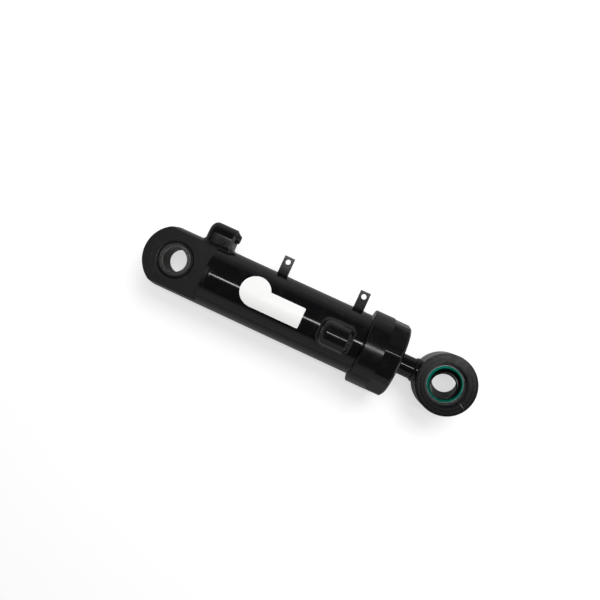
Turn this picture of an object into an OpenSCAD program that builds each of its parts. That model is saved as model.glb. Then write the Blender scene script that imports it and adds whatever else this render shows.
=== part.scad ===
// Welded double-acting hydraulic cylinder with one chromed rod, shown with the rod fully in.
// Base eye with a plain pin bush, rod eye with a spherical plain bearing, two oil ports.
// Origin: centre of the base pin. +X: along the rod. +Z: along the base pin. Millimetres.

/* [Overall] */
// Travel of the rod
stroke = 160; // [80:1:300]
// Diameter of the pins that both eyes take
pin_d = 40; // [38:0.5:43]
// Bore of the barrel
bore_d = 90; // [80:1:105]
// Wall thickness of the barrel
barrel_wall = 8; // [6:0.5:12]
// Diameter of the rod
rod_d = 36; // [30:1:44]

/* [Base eye] */
// Thickness of the base lug, along the pin
lug_t = 46; // [40:1:52]
// Radius of the end of the base lug, about the pin
lug_r = 55.7; // [50:0.1:66]
// Distance from the pin to the shoulder where the lug flats end
lug_reach = 59; // [57:0.5:80]
// Wall thickness of the pressed-in pin bush
bush_wall = 6.45; // [4:0.05:8]
// Width of the dust seal around the bush
base_seal_w = 2.8; // [2:0.1:4]

/* [Rod eye] */
// Outer diameter of the rod eye
eye_d = 102; // [98:1:120]
// Thickness of the rod eye, along its pin
eye_t = 50; // [46:1:60]
// Distance from the weld on the rod to the centre of the rod eye
eye_reach = 54; // [54:1:80]
// Length of rod between the gland and the weld, rod fully in
rod_stub = 32.5; // [15:0.5:60]
// Outer diameter of the spherical bearing
bearing_d = 68; // [67:0.5:74]
// Width of the bearing outer ring
bearing_outer_w = 25; // [22:1:30]
// Width of the bearing inner ring
bearing_inner_w = 40; // [36:1:42]
// Diameter of the ball
ball_d = 60; // [58:0.5:62]
// Angle at which the inner ring lies askew at rest
ring_tilt = 14; // [0:1:17]
// Direction in the XY plane towards which its +Z end leans
ring_tilt_dir = 234; // [0:1:359]

/* [Gland] */
// Outer diameter of the gland collar
gland_d = 128; // [118:1:150]
// Distance across the eight spanner flats
gland_flats = 122; // [114:1:146]
// Length of the round part of the collar
gland_round = 34; // [20:1:60]
// Length of the octagonal part of the collar
gland_octagon = 30.5; // [20:0.5:50]
// Gap between the end of the barrel and the collar
gland_gap = 2.5; // [2:0.5:6]
// Angle of the flats about the axis
gland_turn = 8.5; // [0:0.5:45]

/* [Ports] */
// Width of the port bosses, which are round on top
boss_d = 42; // [38:0.5:46]
// Length of the port bosses
boss_len = 48; // [40:1:56]
// Size of the chamfer round the open end of a boss
boss_bevel = 4.3; // [2:0.1:6]
// Distance from the barrel surface to the axis of the bosses
boss_rise = 14.5; // [12:0.5:18]
// Distance from the axis of a boss out to the axis of its port
port_rise = 7.3; // [5:0.1:8]
// Nominal thread diameter of the ports
port_d = 16; // [12:0.5:17]
// Diameter of the flange of the port plugs
plug_d = 18.4; // [17.4:0.2:20]
// Angle of the rod-side port about the axis, from +Y towards +Z
rod_port_angle = 92; // [60:1:120]

/* [Pipe tabs] */
// Width of the pipe clamp tabs
tab_w = 18; // [14:0.5:24]
// Thickness of the pipe clamp tabs
tab_t = 6; // [4:0.5:8]
// Height of the tabs above the barrel
tab_h = 31; // [24:0.5:45]
// Diameter of the bolt hole in the tabs
tab_hole_d = 9; // [6:0.5:10]
// Distance from the base pin to the first tab
tab_base_x = 171; // [150:1:190]
// Distance from the second tab to the open end of the barrel
tab_rod_back = 25.5; // [20:0.5:60]

/* [Label] */
// Length of the rectangular part of the label
label_len = 85; // [50:1:90]
// Width of the rectangular part
label_w = 35; // [20:1:40]
// Diameter of the round part
label_disc_d = 51; // [40:1:54]

/* [Hidden] */
$fn = 96;

paint = [0.05, 0.05, 0.055];
steel = [0.72, 0.72, 0.74];
green = [0.0, 0.45, 0.36];

eps = 0.01;
// Radial clearances: running fits, pieces that only pass, the ball in its ring
run = 0.05;
pass = 0.4;
ball_gap = 0.05;

pin_r = pin_d / 2;
bore_r = bore_d / 2;
barrel_r = bore_r + barrel_wall;
rod_r = rod_d / 2;
rod_fit_r = rod_r + run;

// Base end
base_plate = 17;
base_face_x = lug_reach + base_plate;
weld_x = base_face_x - 8;
weld_w = 6;
weld_root = 1;
bush_in_r = pin_r + run;
bush_out_r = bush_in_r + bush_wall;
base_seal_r = bush_out_r + base_seal_w;
seal_seat_depth = 5;
seat_chamfer = 3;

// Piston, on the rod tail
rear_gap = 2;
piston_len = 42;
piston_x = base_face_x + rear_gap;
piston_front_x = piston_x + piston_len;
piston_body_r = bore_r - 0.5;
piston_fit_r = bore_r - run;
tail_r = rod_r * 2 / 3;
nut_flats = tail_r * 3;
nut_len = 13;
nut_corner_r = nut_flats / 2 / cos(30);
nut_pocket_r = nut_corner_r + 1.2;
wear_len = 8;
wear_r = bore_r - 3;
wear_rear_x = piston_x + 3;
wear_front_x = piston_front_x - 3 - wear_len;
seal_len = 7;
seal_x = piston_x + (piston_len - seal_len) / 2;
seal_floor_r = bore_r - 6.5;

// Gland and rod end of the barrel
stop_margin = 3;
stop_x = piston_front_x + stroke + stop_margin;
nose_len = 27;
nose_r = rod_r + 17;
spigot_x = stop_x + nose_len;
spigot_len = 14;
spigot_r = bore_r - run;
thread_x = spigot_x + spigot_len;
thread_len = 12;
thread_r = bore_r + 2;
barrel_end_x = thread_x + thread_len;
collar_x = barrel_end_x + gland_gap;
octagon_x = collar_x + gland_round;
gland_end_x = octagon_x + gland_octagon;
gland_r = gland_d / 2;
gland_edge_r = 2.5;
gland_chamfer = 5;
gland_chamfer_len = 4;
o_ring_x = spigot_x + 3;
o_ring_w = 5;
o_ring_floor_r = spigot_r - 4;
backup_w = 1.6;

// Rod seals, each a groove in the gland that holds its ring: place, length, outer radius
bush_groove_x = stop_x + 4;
bush_len = 40;
rod_bush_r = rod_r + 2.5;
buffer_x = bush_groove_x + bush_len + 9;
buffer_len = 6;
rod_seal_x = buffer_x + 16;
rod_seal_len = 9;
seal_ring_r = rod_r + 7.5;
wiper_len = 8;
wiper_r = rod_r + 6;
wiper_x = gland_end_x - wiper_len - 1;

// Rod eye
weld_rod_x = gland_end_x + rod_stub;
eye_x = weld_rod_x + eye_reach;
eye_r = eye_d / 2;
eye_edge = 1.5;
neck_r = rod_r + 2.5;
bearing_r = bearing_d / 2;
ball_r = ball_d / 2;
snap_t = 2.5;
snap_groove = 1.6;
snap_in_r = bearing_r - 3;
snap_gap = 9;
// The seal lips stay clear of the pin at the full 17 degrees of tilt
lip_in_r = pin_r + 6.3;
lip_gap = 0.3;
lip_t = 1.2;
lip_seat_r = ball_r - 0.3;
lip_seat_depth = 2.5;

// Ports
boss_r = boss_d / 2;
boss_axis_r = barrel_r + boss_rise;
port_axis_r = boss_axis_r + port_rise;
boss_dome = 11;
passage_r = 6;
passage_back = 27;
port_depth = 15;
plug_shank = 12;
plug_head = 5;
plug_flange = 1.5;
plug_nose_r = port_d / 2 - 0.5;
boss_base_x = base_face_x + 1;
boss_rod_x = stop_x + 5.5 + passage_back;
gallery_y = bore_r * 0.55;
weld_spread = 3.5;
weld_rise = 5;
weld_run = 14;

// Grease nipples, sunk in pockets in the ends of the eyes
nipple_r = 3;
nipple_pocket_r = 6.5;
nipple_pocket = 7;

tab_rod_x = barrel_end_x - tab_rod_back;
tab_hole_back = 9;
tab_hole_y = barrel_r + tab_h - tab_hole_back;
label_x = 148;
label_disc_y = 8;
label_t = 0.4;
label_corner = 2;

// Solid of revolution about X, from [radius, x] points
module revolve_x(points) {
    rotate([0, 90, 0]) rotate_extrude() polygon(points);
}

// Plain ring about X
module ring_x(x, len, r_in, r_out) {
    revolve_x([[r_in, x], [r_out, x], [r_out, x + len], [r_in, x + len]]);
}

// Round bar along X
module bar_x(x, len, r) {
    translate([x, 0, 0]) rotate([0, 90, 0]) cylinder(h = len, r = r);
}

// Toroidal ring about X, round in section
module o_ring_x(x, r, section_r) {
    translate([x, 0, 0]) rotate([0, 90, 0]) rotate_extrude() translate([r, 0]) circle(r = section_r, $fn = 48);
}

// Points of an arc, from angle a0 to angle a1
function arc(cx, cy, r, a0, a1, n) = [for (i = [0 : n]) let (a = a0 + (a1 - a0) * i / n) [cx + r * cos(a), cy + r * sin(a)]];

// The barrel as a solid, to cut what is welded on it
module barrel_space() {
    $fn = 480;
    bar_x(-lug_r - 20, barrel_end_x + lug_r + 40, barrel_r);
}

// Grease nipple standing along +Z on the floor of its pocket
module nipple() {
    hex_t = 3;
    neck_len = 2;
    head_r = 2.6;
    translate([0, 0, -nipple_r * 2]) cylinder(h = nipple_r * 2, r = nipple_r);
    cylinder(h = hex_t, r = nipple_r * 1.45, $fn = 6);
    translate([0, 0, hex_t]) cylinder(h = neck_len, r1 = nipple_r * 0.9, r2 = nipple_r * 0.6);
    translate([0, 0, hex_t + neck_len]) rotate_extrude() polygon([[0, 0], [1.8, 0], [head_r, 0.7], [head_r, 1.1], [1.5, 1.9], [0, 1.9]]);
}

module nipple_hole() {
    translate([0, 0, -nipple_r * 2]) cylinder(h = nipple_r * 2 + eps, r = nipple_r);
    cylinder(h = nipple_pocket + 10, r = nipple_pocket_r);
}

// Puts a shape that stands along +Z on the floor of the pocket in the end of the base lug
module at_base_nipple() {
    translate([-lug_r + nipple_pocket, 0, 0]) rotate([0, -90, 0]) children();
}

// The same in the end of the rod eye
module at_rod_nipple() {
    translate([eye_x + eye_r - nipple_pocket, 0, 0]) rotate([0, 90, 0]) children();
}

// Half of the seat of the pin bush and dust seal, towards +Z
module base_seal_seat() {
    translate([0, 0, lug_t / 2 - seal_seat_depth]) cylinder(h = lug_t, r = base_seal_r);
    translate([0, 0, lug_t / 2 - seat_chamfer]) cylinder(h = seat_chamfer + eps, r1 = base_seal_r, r2 = base_seal_r + seat_chamfer);
}

module base_eye() {
    groove_in = (weld_w - weld_root) / 2;
    color(paint) difference() {
        intersection() {
            revolve_x([[0, -lug_r], [barrel_r, -lug_r], [barrel_r, weld_x - weld_w / 2],
                [bore_r, weld_x - weld_w / 2 + groove_in], [bore_r, base_face_x], [0, base_face_x]]);
            union() {
                translate([0, 0, -barrel_r]) cylinder(h = 2 * barrel_r, r = lug_r);
                translate([0, -barrel_r - eps, -barrel_r]) cube([base_face_x, 2 * barrel_r + 2 * eps, 2 * barrel_r]);
            }
        }
        for (side = [0, 1]) mirror([0, 0, side]) {
            translate([-lug_r - 1, -lug_r - 1, lug_t / 2]) cube([lug_r + 1 + lug_reach, 2 * lug_r + 2, lug_r]);
            base_seal_seat();
        }
        translate([0, 0, -lug_t]) cylinder(h = 2 * lug_t, r = bush_out_r);
        translate([boss_base_x - passage_back, gallery_y, 0]) rotate([-90, 0, 0]) cylinder(h = barrel_r, r = passage_r);
        translate([boss_base_x - passage_back, gallery_y, 0]) sphere(r = passage_r);
        translate([boss_base_x - passage_back, gallery_y, 0]) rotate([0, 90, 0]) cylinder(h = lug_r, r = passage_r);
        at_base_nipple() nipple_hole();
    }
}

module barrel_tube() {
    groove_in = (weld_w - weld_root) / 2;
    color(paint) difference() {
        revolve_x([[bore_r, weld_x + weld_w / 2 - groove_in], [barrel_r, weld_x + weld_w / 2],
            [barrel_r, barrel_end_x], [thread_r, barrel_end_x], [thread_r, thread_x], [bore_r, thread_x]]);
        rotate([rod_port_angle, 0, 0]) translate([boss_rod_x - passage_back, bore_r / 2, 0])
            rotate([-90, 0, 0]) cylinder(h = barrel_r, r = passage_r);
    }
}

module base_weld() {
    groove_in = (weld_w - weld_root) / 2;
    color(paint) revolve_x([[bore_r, weld_x - weld_root / 2], [barrel_r, weld_x - weld_root / 2 - groove_in],
        [barrel_r, weld_x + weld_root / 2 + groove_in], [bore_r, weld_x + weld_root / 2]]);
}

module base_bush() {
    edge = 1.2;
    half = lug_t / 2;
    color(steel) rotate_extrude() polygon([[bush_in_r, -half + edge], [bush_in_r + edge, -half], [bush_out_r, -half],
        [bush_out_r, half], [bush_in_r + edge, half], [bush_in_r, half - edge]]);
}

// Dust seal around the end of the bush, with a crowned outer face
module base_dust_seal() {
    seal_h = seal_seat_depth - seat_chamfer + 1.2;
    crown = 0.6;
    translate([0, 0, lug_t / 2 - seal_seat_depth]) rotate_extrude() polygon([[bush_out_r, 0], [base_seal_r, 0],
        [base_seal_r, seal_seat_depth - seat_chamfer], [bush_out_r + base_seal_w / 2, seal_h], [bush_out_r, seal_h - crown]]);
}

module base_dust_seal_front() { color("black") base_dust_seal(); }
module base_dust_seal_rear() { color("black") mirror([0, 0, 1]) base_dust_seal(); }
module base_grease_nipple() { color(steel) at_base_nipple() nipple(); }

// Side of a port boss as [half width, x]: domed at the rear, chamfered at its open end x
function boss_side(x) = concat(arc(boss_r - boss_dome, x - boss_len + boss_dome, boss_dome, -90, 0, 8),
    [[boss_r, x - boss_bevel], [boss_r - boss_bevel, x]]);

// Body of a port boss: round above its axis, with straight sides below it. Its axis lies in +Y
module boss_body(x) {
    side = boss_side(x);
    last = len(side) - 1;
    translate([0, boss_axis_r, 0]) {
        revolve_x(concat([[0, x - boss_len]], side, [[0, x]]));
        rotate([90, 0, 0]) linear_extrude(height = boss_axis_r - barrel_r / 2)
            polygon(concat([for (p = side) [p[1], p[0]]], [for (i = [last : -1 : 0]) [side[i][1], -side[i][0]]]));
    }
}

module port_boss(x) {
    difference() {
        boss_body(x);
        barrel_space();
        translate([0, port_axis_r, 0]) bar_x(x - port_depth, port_depth + 1, port_d / 2);
        translate([0, port_axis_r, 0]) bar_x(x - passage_back, passage_back, passage_r);
        translate([x - passage_back, 0, 0]) rotate([-90, 0, 0]) cylinder(h = port_axis_r, r = passage_r);
        translate([x - passage_back, port_axis_r, 0]) sphere(r = passage_r);
    }
}

// Plate with round corners in XZ, for the foot of a weld
module weld_plate(x0, x1, half_w, y, corner) {
    for (x = [x0 + corner, x1 - corner]) for (z = [-half_w + corner, half_w - corner])
        translate([x, y, z]) rotate([-90, 0, 0]) cylinder(h = 0.5, r = corner, $fn = 32);
}

// Fillet weld round the foot of a boss
module port_weld(x) {
    foot_y = sqrt(pow(barrel_r, 2) - pow(boss_r + weld_spread, 2)) - 1;
    inset = 0.5;
    difference() {
        hull() {
            weld_plate(x - boss_len + inset, x - inset, boss_r - inset, barrel_r + weld_rise, boss_dome);
            weld_plate(x - boss_len - weld_run, x + weld_run, boss_r + weld_spread, foot_y, boss_dome + weld_spread);
        }
        barrel_space();
        boss_body(x);
    }
}

// Plastic plug in the open end of a boss: a thin flange with a round head
module port_plug(x) {
    rim_r = plug_d / 2;
    end_x = x + plug_head;
    translate([0, port_axis_r, 0]) revolve_x([[0, x - plug_shank], [port_d / 2 - 1, x - plug_shank],
        [port_d / 2, x - plug_shank + 1], [port_d / 2, x], [rim_r, x], [rim_r, x + plug_flange],
        [plug_nose_r, x + plug_flange], [plug_nose_r, end_x - 1], [plug_nose_r - 1, end_x], [0, end_x]]);
}

module base_port_boss() { color(paint) port_boss(boss_base_x); }
module base_port_weld() { color(paint) port_weld(boss_base_x); }
module base_port_plug() { color("black") port_plug(boss_base_x); }
module rod_port_boss() { color(paint) rotate([rod_port_angle, 0, 0]) port_boss(boss_rod_x); }
module rod_port_weld() { color(paint) rotate([rod_port_angle, 0, 0]) port_weld(boss_rod_x); }
module rod_port_plug() { color("black") rotate([rod_port_angle, 0, 0]) port_plug(boss_rod_x); }

// Flat tab that stands on the barrel in +Y, for a pipe clamp
module pipe_tab(x) {
    difference() {
        translate([x - tab_w / 2, barrel_r - 2, -tab_t / 2]) cube([tab_w, tab_h + 2, tab_t]);
        barrel_space();
        translate([x, tab_hole_y, -tab_t]) cylinder(h = 2 * tab_t, d = tab_hole_d);
    }
}

module pipe_tab_weld(x) {
    bead = 2.5;
    difference() {
        hull() {
            translate([x - tab_w / 2, barrel_r + bead - 0.2, -tab_t / 2]) cube([tab_w, 0.2, tab_t]);
            translate([x - tab_w / 2 - bead, barrel_r - 1, -tab_t / 2 - bead]) cube([tab_w + 2 * bead, 0.5, tab_t + 2 * bead]);
        }
        barrel_space();
        translate([x - tab_w / 2, barrel_r - 2, -tab_t / 2]) cube([tab_w, tab_h, tab_t]);
    }
}

module pipe_tab_base() { color(paint) pipe_tab(tab_base_x); }
module pipe_tab_rod() { color(paint) pipe_tab(tab_rod_x); }
module pipe_tab_weld_base() { color(paint) pipe_tab_weld(tab_base_x); }
module pipe_tab_weld_rod() { color(paint) pipe_tab_weld(tab_rod_x); }

module gland() {
    bore = rod_r + pass;
    color(paint) difference() {
        revolve_x(concat([[bore, stop_x], [nose_r - 1, stop_x], [nose_r, stop_x + 1], [nose_r, spigot_x],
            [spigot_r, spigot_x], [spigot_r, thread_x], [thread_r, thread_x], [thread_r, collar_x]],
            arc(gland_r - gland_edge_r, collar_x + gland_edge_r, gland_edge_r, -90, 0, 6),
            [[gland_r, gland_end_x - gland_chamfer_len],
            [gland_r - gland_chamfer, gland_end_x], [bore, gland_end_x]]));
        difference() {
            bar_x(octagon_x, gland_octagon + 1, gland_r + 5);
            translate([octagon_x - 1, 0, 0]) rotate([gland_turn, 0, 0]) rotate([0, 90, 0]) rotate([0, 0, 22.5])
                cylinder(h = gland_octagon + 3, r = gland_flats / 2 / cos(22.5), $fn = 8);
        }
        ring_x(o_ring_x, o_ring_w + backup_w, o_ring_floor_r, spigot_r + 1);
        ring_x(bush_groove_x, bush_len, bore - 1, rod_bush_r);
        ring_x(buffer_x, buffer_len, bore - 1, seal_ring_r);
        ring_x(rod_seal_x, rod_seal_len, bore - 1, seal_ring_r);
        ring_x(wiper_x, wiper_len + 2, bore - 1, wiper_r);
    }
}

module gland_o_ring() {
    section_r = (spigot_r + run - o_ring_floor_r) / 2;
    color("black") o_ring_x(o_ring_x + section_r, o_ring_floor_r + section_r, section_r);
}

module gland_backup_ring() {
    color("ivory") ring_x(o_ring_x + o_ring_w, backup_w, o_ring_floor_r, spigot_r);
}

module rod_bush() {
    color("peru") ring_x(bush_groove_x, bush_len, rod_fit_r, rod_bush_r);
}

// Lip seal on the rod: a solid heel and an open mouth towards the pressure side
module u_ring(x, len) {
    mid_r = (rod_fit_r + seal_ring_r) / 2;
    revolve_x([[rod_fit_r, x], [mid_r - 0.8, x], [mid_r, x + len / 3], [mid_r + 0.8, x], [seal_ring_r, x],
        [seal_ring_r, x + len], [rod_fit_r, x + len]]);
}

module buffer_seal() { color("brown") u_ring(buffer_x, buffer_len); }
module rod_seal() { color("navy") u_ring(rod_seal_x, rod_seal_len); }

module wiper_seal() {
    lip_out = 1.4;
    color("black") revolve_x([[rod_fit_r, wiper_x + 2], [rod_fit_r + 2, wiper_x], [wiper_r, wiper_x],
        [wiper_r, wiper_x + wiper_len], [rod_fit_r + 3, wiper_x + wiper_len], [rod_fit_r + 1, wiper_x + wiper_len + lip_out],
        [rod_fit_r, wiper_x + wiper_len + lip_out]]);
}

module data_label() {
    color("white") intersection() {
        ring_x(label_x - label_disc_d, label_len + label_disc_d * 2, barrel_r, barrel_r + label_t);
        linear_extrude(height = barrel_r * 2) union() {
            translate([label_x, label_disc_y]) circle(d = label_disc_d);
            translate([label_x, -label_w / 2 + label_corner]) square([label_len, label_w - 2 * label_corner]);
            translate([label_x, -label_w / 2]) square([label_len - label_corner, label_w]);
            for (y = [-label_w / 2 + label_corner, label_w / 2 - label_corner])
                translate([label_x + label_len - label_corner, y]) circle(r = label_corner);
        }
    }
}

module piston_rod() {
    bevel = 3;
    color(steel) revolve_x([[0, piston_x + 1], [tail_r - 1, piston_x + 1], [tail_r, piston_x + 2], [tail_r, piston_front_x],
        [rod_r - 2, piston_front_x], [rod_r, piston_front_x + 3], [rod_r, weld_rod_x - bevel], [rod_r - bevel, weld_rod_x],
        [0, weld_rod_x]]);
}

// Neck of the rod eye, flaring from the weld into the ring
module eye_neck() {
    fillet = eye_r * 0.42;
    flare_x = weld_rod_x + 7;
    half_t = eye_t / 2 - 4;
    bevel = 3;
    intersection() {
        revolve_x(concat([[0, weld_rod_x], [neck_r - bevel, weld_rod_x], [neck_r, weld_rod_x + bevel]],
            [for (p = arc(neck_r + fillet, flare_x, fillet, 180, 118, 8)) [p[0], p[1]]],
            [[eye_r * 0.62, eye_x], [0, eye_x]]));
        translate([weld_rod_x, -eye_r, -half_t]) cube([eye_reach, eye_d, 2 * half_t]);
    }
}

module rod_eye() {
    half = eye_t / 2;
    color(paint) difference() {
        union() {
            translate([eye_x, 0, 0]) rotate_extrude() polygon([[0, -half], [eye_r - eye_edge, -half], [eye_r, -half + eye_edge],
                [eye_r, half - eye_edge], [eye_r - eye_edge, half], [0, half]]);
            eye_neck();
        }
        translate([eye_x, 0, -half - 1]) cylinder(h = eye_t + 2, r = bearing_r);
        for (side = [0, 1]) mirror([0, 0, side]) {
            translate([eye_x, 0, bearing_outer_w / 2]) cylinder(h = snap_t + 0.1, r = bearing_r + snap_groove);
            translate([eye_x, 0, half - 1]) cylinder(h = 1 + eps, r1 = bearing_r, r2 = bearing_r + 1);
        }
        at_rod_nipple() nipple_hole();
    }
}

// Bead that fills the bevels where the rod and the eye meet
module rod_eye_weld() {
    bevel = 3;
    crown = 1.2;
    color(paint) revolve_x(concat([[rod_r - bevel, weld_rod_x]],
        [for (t = [0 : 0.125 : 1]) [rod_r + (neck_r - rod_r) * t + 4 * crown * t * (1 - t), weld_rod_x + (2 * t - 1) * bevel]],
        [[neck_r - bevel, weld_rod_x]]));
}

module piston() {
    color(steel) difference() {
        revolve_x([[tail_r, piston_x], [piston_body_r - 1.5, piston_x], [piston_body_r, piston_x + 1.5],
            [piston_body_r, piston_front_x - 1.5], [piston_body_r - 1.5, piston_front_x], [tail_r, piston_front_x]]);
        bar_x(piston_x - 1, nut_len + 2, nut_pocket_r);
        ring_x(wear_rear_x, wear_len, wear_r, bore_r);
        ring_x(wear_front_x, wear_len, wear_r, bore_r);
        ring_x(seal_x, seal_len, seal_floor_r, bore_r);
        ring_x(piston_front_x - 8, 3.6, tail_r - 1, tail_r + 3);
    }
}

module piston_seal() { color("ivory") ring_x(seal_x, seal_len, wear_r, piston_fit_r); }
module piston_seal_energizer() { color("black") ring_x(seal_x, seal_len, seal_floor_r, wear_r); }
module piston_wear_ring_rear() { color("olive") ring_x(wear_rear_x, wear_len, wear_r, piston_fit_r); }
module piston_wear_ring_front() { color("olive") ring_x(wear_front_x, wear_len, wear_r, piston_fit_r); }
module piston_o_ring() { color("black") o_ring_x(piston_front_x - 6.2, tail_r + 1.5, 1.5); }

module piston_nut() {
    color(steel) difference() {
        intersection() {
            translate([piston_x + 1, 0, 0]) rotate([0, 90, 0]) cylinder(h = nut_len, r = nut_corner_r, $fn = 6);
            revolve_x([[0, piston_x + 1], [nut_corner_r - 2, piston_x + 1], [nut_corner_r + 0.4, piston_x + 2.4],
                [nut_corner_r + 0.4, piston_x + 1 + nut_len], [0, piston_x + 1 + nut_len]]);
        }
        bar_x(piston_x, nut_len + 3, tail_r);
    }
}

module bearing_outer_ring() {
    half = bearing_outer_w / 2;
    color(steel) translate([eye_x, 0, 0]) difference() {
        rotate_extrude() polygon([[ball_r - 8, -half], [bearing_r - 1, -half], [bearing_r, -half + 1], [bearing_r, half - 1],
            [bearing_r - 1, half], [ball_r - 8, half]]);
        sphere(r = ball_r + ball_gap);
        for (side = [0, 1]) mirror([0, 0, side]) translate([0, 0, half - lip_seat_depth]) cylinder(h = half, r = lip_seat_r);
        rotate([0, 90, 0]) cylinder(h = bearing_r + 1, r = 1.5);
    }
}

// Seal that lies on the ball like a collar, held in its seat in the outer ring
module bearing_seal() {
    inner_r = ball_r + lip_gap;
    outer_r = inner_r + lip_t;
    seat_z = bearing_outer_w / 2 - lip_seat_depth;
    a_seat = asin(seat_z / inner_r);
    a_lip = acos(lip_in_r / inner_r);
    a_lip_out = acos((lip_in_r + 0.4) / outer_r);
    a_out = asin((bearing_outer_w / 2 - 0.3) / outer_r);
    rotate_extrude() polygon(concat(arc(0, 0, inner_r, a_seat, a_lip, 10), arc(0, 0, outer_r, a_lip_out, a_out, 10),
        [[lip_seat_r, bearing_outer_w / 2 - 0.3], [lip_seat_r, seat_z]]));
}

module bearing_seal_front() { color(green) translate([eye_x, 0, 0]) bearing_seal(); }
module bearing_seal_rear() { color(green) translate([eye_x, 0, 0]) mirror([0, 0, 1]) bearing_seal(); }

// Lugless snap ring, open at its end gap
module snap_ring() {
    translate([0, 0, bearing_outer_w / 2]) difference() {
        cylinder(h = snap_t, r = bearing_r + snap_groove - 0.1);
        translate([0, 0, -1]) cylinder(h = snap_t + 2, r = snap_in_r);
        rotate([0, 0, 40]) translate([0, -snap_gap / 2, -1]) cube([bearing_d, snap_gap, snap_t + 2]);
    }
}

module snap_ring_front() { color("dimgray") translate([eye_x, 0, 0]) snap_ring(); }
module snap_ring_rear() { color("dimgray") translate([eye_x, 0, 0]) mirror([0, 0, 1]) snap_ring(); }
module rod_grease_nipple() { color(steel) at_rod_nipple() nipple(); }

module bearing_inner_ring() {
    edge = 1;
    half = bearing_inner_w / 2;
    color(steel) translate([eye_x, 0, 0]) rotate([0, 0, ring_tilt_dir]) rotate([0, ring_tilt, 0]) difference() {
        intersection() {
            sphere(r = ball_r);
            translate([0, 0, -half]) cylinder(h = bearing_inner_w, r = ball_d);
        }
        translate([0, 0, -half - 1]) cylinder(h = bearing_inner_w + 2, r = pin_r + run);
        for (side = [0, 1]) mirror([0, 0, side]) translate([0, 0, half - edge])
            cylinder(h = edge + eps, r1 = pin_r + run, r2 = pin_r + run + edge);
    }
}

base_eye();
barrel_tube();
base_weld();
base_bush();
base_dust_seal_front();
base_dust_seal_rear();
base_grease_nipple();
base_port_boss();
base_port_weld();
base_port_plug();
rod_port_boss();
rod_port_weld();
rod_port_plug();
pipe_tab_base();
pipe_tab_rod();
pipe_tab_weld_base();
pipe_tab_weld_rod();
gland();
gland_o_ring();
gland_backup_ring();
rod_bush();
buffer_seal();
rod_seal();
wiper_seal();
data_label();
piston_rod();
rod_eye();
rod_eye_weld();
piston();
piston_seal();
piston_seal_energizer();
piston_wear_ring_rear();
piston_wear_ring_front();
piston_o_ring();
piston_nut();
bearing_outer_ring();
bearing_seal_front();
bearing_seal_rear();
snap_ring_front();
snap_ring_rear();
rod_grease_nipple();
bearing_inner_ring();
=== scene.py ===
"""Finished surfaces of a welded hydraulic cylinder, built round its packed frame.

Every length is in metres in the frame's own axes: +X along the rod, +Z along the base pin.
"""

import math

import bmesh
import bpy
from bpy.props import FloatProperty, FloatVectorProperty, IntProperty, PointerProperty
from mathutils import Matrix, Vector


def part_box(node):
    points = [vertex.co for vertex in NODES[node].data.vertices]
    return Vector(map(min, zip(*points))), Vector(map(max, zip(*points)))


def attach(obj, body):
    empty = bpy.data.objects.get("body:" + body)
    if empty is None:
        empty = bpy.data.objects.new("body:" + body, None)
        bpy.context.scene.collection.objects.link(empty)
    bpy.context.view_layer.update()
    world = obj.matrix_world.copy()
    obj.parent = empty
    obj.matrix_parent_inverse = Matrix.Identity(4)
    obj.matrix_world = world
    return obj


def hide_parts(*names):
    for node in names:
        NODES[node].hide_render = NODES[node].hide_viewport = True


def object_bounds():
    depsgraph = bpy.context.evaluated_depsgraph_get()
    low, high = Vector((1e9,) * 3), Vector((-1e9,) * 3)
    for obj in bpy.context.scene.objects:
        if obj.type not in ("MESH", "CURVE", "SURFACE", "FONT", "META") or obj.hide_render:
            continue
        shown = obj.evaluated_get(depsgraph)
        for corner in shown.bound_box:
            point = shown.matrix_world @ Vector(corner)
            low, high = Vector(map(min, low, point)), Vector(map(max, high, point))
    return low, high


bl_info = {
    "name": "Hydraulic cylinder finish",
    "version": (1, 0, 0),
    "blender": (4, 5, 0),
    "location": "3D View > Sidebar > Cylinder",
    "description": "Builds the finished surfaces of a welded hydraulic cylinder on its frame",
    "category": "Object",
}

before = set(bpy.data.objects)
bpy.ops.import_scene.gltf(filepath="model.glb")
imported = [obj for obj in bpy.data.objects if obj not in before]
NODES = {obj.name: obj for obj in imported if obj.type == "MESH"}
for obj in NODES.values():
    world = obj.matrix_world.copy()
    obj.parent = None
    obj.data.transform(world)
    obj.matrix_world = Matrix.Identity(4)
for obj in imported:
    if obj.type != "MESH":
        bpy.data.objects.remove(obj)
CAD_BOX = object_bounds()
MM = 0.001
PAST = 9 * MM           # how far a cutting tool starts outside the piece that it cuts
POCKET_R = 6.5 * MM     # radius of the pocket of a grease nipple
POCKET_DEPTH = 7 * MM
FILLET_STEPS = 5        # steps round the corner of an outline
RIPPLE_STEPS = 8        # steps along each ripple of a weld
WELD_STEPS = 7          # steps across a fillet weld


# ---------------------------------------------------------------- settings


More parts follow.
